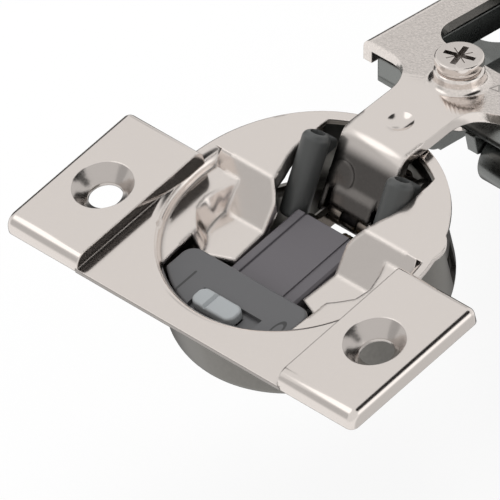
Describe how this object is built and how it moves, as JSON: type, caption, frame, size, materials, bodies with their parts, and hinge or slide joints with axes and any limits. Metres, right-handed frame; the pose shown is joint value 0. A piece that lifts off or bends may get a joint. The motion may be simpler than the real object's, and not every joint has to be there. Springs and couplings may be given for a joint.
{
  "type": "concealed cup hinge",
  "caption": "Concealed soft-closing cup hinge with screw-on flange, linked levers, slotted arm, side and depth adjusters and a clip-on mounting plate.",
  "frame": {"origin": "centre of the cup's axis in the door face, on the underside of the flange", "axes": "+Z out of the door along the cup's axis, +Y from the cup towards the arm, +X to the right"},
  "size_m": [0.0576, 0.0932, 0.025],
  "materials": {
    "nickel_sheet": "bright nickel-plated stamped steel",
    "satin_steel": "satin drawn steel",
    "lever_steel": "dark plated steel",
    "pin_steel": "ground steel pin",
    "spring_steel": "drawn spring wire",
    "zinc_cast": "die-cast zinc, nickel-plated",
    "grey_plastic": "dark grey moulded plastic",
    "light_plastic": "light grey moulded plastic",
    "slider_plastic": "warm grey moulded plastic",
    "sleeve_plastic": "near-black moulded plastic"
  },
  "bodies": {
    "cup": {"flange_plate": "nickel_sheet", "cup_shell": "satin_steel", "rear_cup_pin": "pin_steel", "front_cup_pin": "pin_steel", "damper_housing": "grey_plastic", "damper_cylinder": "satin_steel", "damper_return_spring": "spring_steel", "spring_sleeve_left": "sleeve_plastic", "spring_sleeve_right": "sleeve_plastic", "closing_spring": "spring_steel", "lever_coil_spring": "spring_steel"},
    "outer_link": {"outer_lever": "lever_steel"},
    "arm": {"hinge_arm": "nickel_sheet", "arm_outer_pin": "pin_steel", "arm_inner_pin_left": "pin_steel", "arm_inner_pin_right": "pin_steel", "tilt_pin": "pin_steel"},
    "inner_link": {"inner_lever_left": "lever_steel", "inner_lever_right": "lever_steel"},
    "soft_close_slider": {"damper_slider": "slider_plastic", "damper_rod": "pin_steel"},
    "switch": {"deactivation_switch": "light_plastic"},
    "side_screw": {"side_adjusting_screw": "nickel_sheet"},
    "carriage": {"arm_carriage": "zinc_cast", "clip_lever_pin": "pin_steel"},
    "cam": {"depth_cam": "satin_steel"},
    "plate": {"base_plate": "zinc_cast"},
    "catch": {"clip_lever": "satin_steel"}
  },
  "joints": [
    {"name": "outer_lever_swing", "type": "hinge", "parent": "cup", "child": "outer_link", "pos_m": [0, 0.0147, -0.003], "axis": [1, 0, 0], "range_deg": [-15.7, 0]},
    {"name": "arm_swing", "type": "hinge", "parent": "outer_link", "child": "arm", "pos_m": [0, 0.0084, -0.0063], "axis": [1, 0, 0], "range_deg": [0, 120.2]},
    {"name": "inner_lever_swing", "type": "hinge", "parent": "cup", "child": "inner_link", "pos_m": [0, 0.00524, -0.00686], "axis": [1, 0, 0], "range_deg": [0, 67.7]},
    {"name": "damper_slide", "type": "slide", "parent": "cup", "child": "soft_close_slider", "axis": [0, -1, 0], "range_m": [0, 0.005], "deforming": ["damper_return_spring"]},
    {"name": "switch_slide", "type": "slide", "parent": "cup", "child": "switch", "axis": [1, 0, 0], "range_m": [0, 0.0025]},
    {"name": "side_screw_turn", "type": "hinge", "parent": "arm", "child": "side_screw", "pos_m": [0, 0.02826, 0.00073], "axis": [0, 0.2504, 0.9681], "range_deg": [-720, 720]},
    {"name": "side_adjust_tilt", "type": "hinge", "parent": "arm", "child": "carriage", "pos_m": [0, 0.06405, -0.01265], "axis": [1, 0, 0], "range_deg": [-1, 1]},
    {"name": "depth_cam_turn", "type": "hinge", "parent": "carriage", "child": "cam", "pos_m": [0, 0.0563, -0.01065], "axis": [0, 0.2504, 0.9681], "range_deg": [-180, 180]},
    {"name": "depth_slide", "type": "slide", "parent": "carriage", "child": "plate", "axis": [0, 0.9681, -0.2504], "range_m": [-0.002, 0.002]},
    {"name": "catch_press", "type": "hinge", "parent": "carriage", "child": "catch", "pos_m": [0, 0.06659, -0.01682], "axis": [1, 0, 0], "range_deg": [0, 12], "stiffness_Nm_per_rad": 0.0005, "springref_deg": -17.19}
  ],
  "couplings": [
    {"joint": "outer_lever_swing", "follows": "arm_swing", "ratio": -0.13062},
    {"joint": "inner_lever_swing", "follows": "arm_swing", "ratio": 0.56323},
    {"joint": "damper_slide", "follows": "arm_swing", "m_per_rad": 0.0023834},
    {"joint": "side_screw_turn", "follows": "side_adjust_tilt", "ratio": 720},
    {"joint": "depth_cam_turn", "follows": "depth_slide", "rad_per_m": 1570.8}
  ]
}
